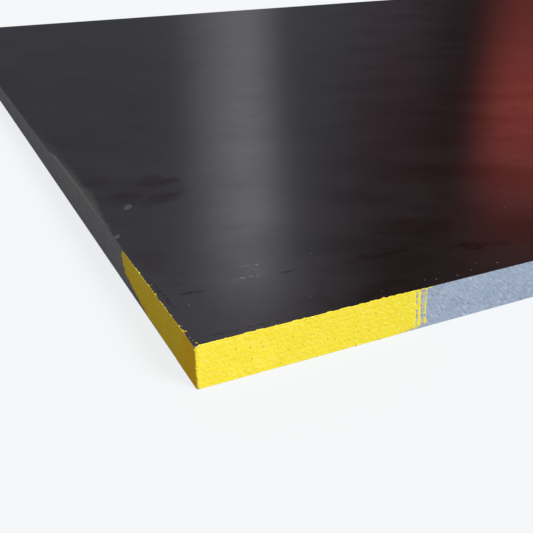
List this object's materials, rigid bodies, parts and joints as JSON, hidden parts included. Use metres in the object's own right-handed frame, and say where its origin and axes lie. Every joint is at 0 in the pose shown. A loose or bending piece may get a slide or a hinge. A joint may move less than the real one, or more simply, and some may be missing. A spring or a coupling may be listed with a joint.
{
  "type": "concrete formwork panel",
  "caption": "Flat film-faced birch plywood sheet with painted, sealed edges and yellow corner marks, laid on joists or walers to form the face of cast concrete.",
  "frame": {"origin": "centre of the back face, the one that lies on the joists", "axes": "+X along the length, which is the grain of the face veneers; +Y along the width, towards the back edge; +Z out of the casting face"},
  "size_m": [2.5, 1.25, 0.021],
  "materials": {
    "birch_veneer": "bare sawn and rotary-cut birch",
    "phenolic_film": "smooth, semi-gloss, with faint veneer lines and handling marks",
    "edge_seal_paint": "matt sprayed sealing paint over sawn plies",
    "corner_mark_paint": "brushed matt paint over the sealing coat"
  },
  "bodies": {
    "root": {"backing_film": "phenolic_film", "long_veneer_01": "birch_veneer", "cross_veneer_02": "birch_veneer", "long_veneer_03": "birch_veneer", "cross_veneer_04": "birch_veneer", "long_veneer_05": "birch_veneer", "cross_veneer_06": "birch_veneer", "long_veneer_07": "birch_veneer", "cross_veneer_08": "birch_veneer", "long_veneer_09": "birch_veneer", "cross_veneer_10": "birch_veneer", "long_veneer_11": "birch_veneer", "cross_veneer_12": "birch_veneer", "long_veneer_13": "birch_veneer", "cross_veneer_14": "birch_veneer", "long_veneer_15": "birch_veneer", "casting_film": "phenolic_film", "edge_seal": "edge_seal_paint", "corner_mark_front_left": "corner_mark_paint", "corner_mark_front_right": "corner_mark_paint", "corner_mark_back_right": "corner_mark_paint", "corner_mark_back_left": "corner_mark_paint"}
  },
  "joints": []
}
